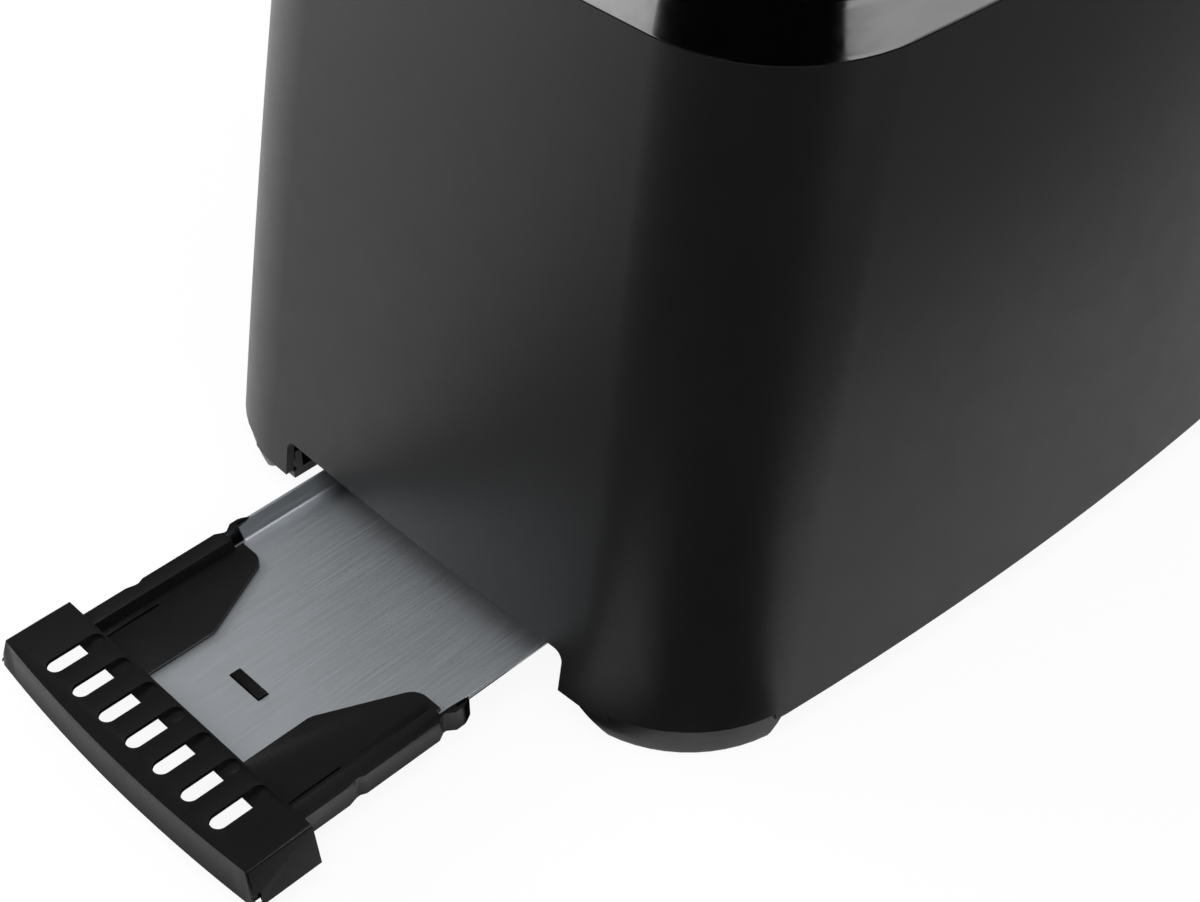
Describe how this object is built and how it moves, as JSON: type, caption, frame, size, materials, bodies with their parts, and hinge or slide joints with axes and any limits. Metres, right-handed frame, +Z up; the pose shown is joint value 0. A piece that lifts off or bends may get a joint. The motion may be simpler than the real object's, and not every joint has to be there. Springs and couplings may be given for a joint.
{
  "type": "pop-up toaster",
  "caption": "Matte charcoal two-slot toaster with a polished top cover, a sprung lift lever, bread guides and a crumb tray drawn out at one end.",
  "frame": {"origin": "on the table, under the middle of the toaster's box with its tray drawn out", "axes": "+X along the body towards the control end (the crumb tray comes out towards -X), +Y to the left seen from the tray end looking along +X, +Z up"},
  "size_m": [0.4296, 0.205, 0.192],
  "materials": {
    "shell_plastic": "matte fine-textured charcoal plastic",
    "base_plastic": "satin black moulded plastic",
    "black_plastic": "satin black moulded plastic",
    "gloss_black": "gloss black plastic",
    "rubber": "matt black rubber",
    "cover_steel": "polished stainless steel",
    "tray_steel": "galvanised sheet, satin",
    "chassis_steel": "aluminised sheet",
    "wire_steel": "bright plated wire",
    "mica": "mica board",
    "ribbon": "oxidised nickel-chrome ribbon",
    "copper": "enamelled copper winding",
    "iron": "laminated iron",
    "board_green": "circuit board",
    "nylon": "natural nylon",
    "screw_steel": "zinc plated"
  },
  "bodies": {
    "housing": {"base_plate": "base_plastic", "foot_pads": "rubber", "base_screws": "screw_steel", "cord_gland": "black_plastic", "outer_shell": "shell_plastic", "top_cover": "cover_steel", "chamber_top": "chassis_steel", "front_plate": "chassis_steel", "rear_plate": "chassis_steel", "reflector_left": "chassis_steel", "reflector_right": "chassis_steel", "heater_board_left": "mica", "heater_board_centre": "mica", "heater_board_right": "mica", "heating_ribbon_left": "ribbon", "heating_ribbon_centre": "ribbon", "heating_ribbon_right": "ribbon", "guide_rod": "wire_steel", "rod_bracket": "chassis_steel", "lift_spring": "wire_steel", "magnet_core": "iron", "magnet_coil": "copper", "control_bezel": "black_plastic", "control_panel": "gloss_black", "timer_board": "board_green", "button_switches": "black_plastic", "dial_control": "iron", "power_board": "board_green", "terminal_block": "nylon"},
    "crumb_tray": {"tray_pan": "tray_steel", "tray_handle": "black_plastic"},
    "lift_carriage": {"carriage": "chassis_steel", "carriage_bush": "nylon", "bread_rack_left": "wire_steel", "bread_rack_right": "wire_steel", "catch_plate": "iron", "lever_arm": "chassis_steel", "lever_knob": "black_plastic"},
    "guide_left_outer": {"bread_guide_left_outer": "wire_steel"},
    "guide_left_inner": {"bread_guide_left_inner": "wire_steel"},
    "guide_right_inner": {"bread_guide_right_inner": "wire_steel"},
    "guide_right_outer": {"bread_guide_right_outer": "wire_steel"},
    "dial": {"browning_dial": "black_plastic", "dial_shaft": "wire_steel"},
    "button_cancel": {"cancel_button": "black_plastic"},
    "button_reheat": {"reheat_button": "black_plastic"},
    "button_defrost": {"defrost_button": "black_plastic"}
  },
  "joints": [
    {"name": "tray_slide", "type": "slide", "parent": "housing", "child": "crumb_tray", "axis": [-1, 0, 0], "range_m": [-0.0896, 0.1]},
    {"name": "lever_slide", "type": "slide", "parent": "housing", "child": "lift_carriage", "axis": [0, 0, -1], "range_m": [0, 0.072], "stiffness_N_per_m": 90, "springref_m": -0.075, "deforming": ["lift_spring"]},
    {"name": "guide_left_outer_swing", "type": "hinge", "parent": "housing", "child": "guide_left_outer", "pos_m": [0.0308, 0.043, 0.0235], "axis": [1, 0, 0], "range_deg": [0, 2.61]},
    {"name": "guide_left_inner_swing", "type": "hinge", "parent": "housing", "child": "guide_left_inner", "pos_m": [0.0308, 0.009, 0.0235], "axis": [-1, 0, 0], "range_deg": [0, 2.61]},
    {"name": "guide_right_inner_swing", "type": "hinge", "parent": "housing", "child": "guide_right_inner", "pos_m": [0.0308, -0.009, 0.0235], "axis": [1, 0, 0], "range_deg": [0, 2.61]},
    {"name": "guide_right_outer_swing", "type": "hinge", "parent": "housing", "child": "guide_right_outer", "pos_m": [0.0308, -0.043, 0.0235], "axis": [-1, 0, 0], "range_deg": [0, 2.61]},
    {"name": "dial_turn", "type": "hinge", "parent": "housing", "child": "dial", "pos_m": [0.18928, 0.028, 0.064], "axis": [-1, 0, 0], "range_deg": [-135, 135]},
    {"name": "cancel_press", "type": "slide", "parent": "housing", "child": "button_cancel", "axis": [-1, 0, 0], "range_m": [0, 0.0025], "stiffness_N_per_m": 400, "springref_m": -0.002},
    {"name": "reheat_press", "type": "slide", "parent": "housing", "child": "button_reheat", "axis": [-1, 0, 0], "range_m": [0, 0.0025], "stiffness_N_per_m": 400, "springref_m": -0.002},
    {"name": "defrost_press", "type": "slide", "parent": "housing", "child": "button_defrost", "axis": [-1, 0, 0], "range_m": [0, 0.0025], "stiffness_N_per_m": 400, "springref_m": -0.002}
  ],
  "couplings": [
    {"joint": "guide_left_outer_swing", "follows": "lever_slide", "rad_per_m": 0.6303},
    {"joint": "guide_left_inner_swing", "follows": "lever_slide", "rad_per_m": 0.6303},
    {"joint": "guide_right_inner_swing", "follows": "lever_slide", "rad_per_m": 0.6303},
    {"joint": "guide_right_outer_swing", "follows": "lever_slide", "rad_per_m": 0.6303}
  ]
}
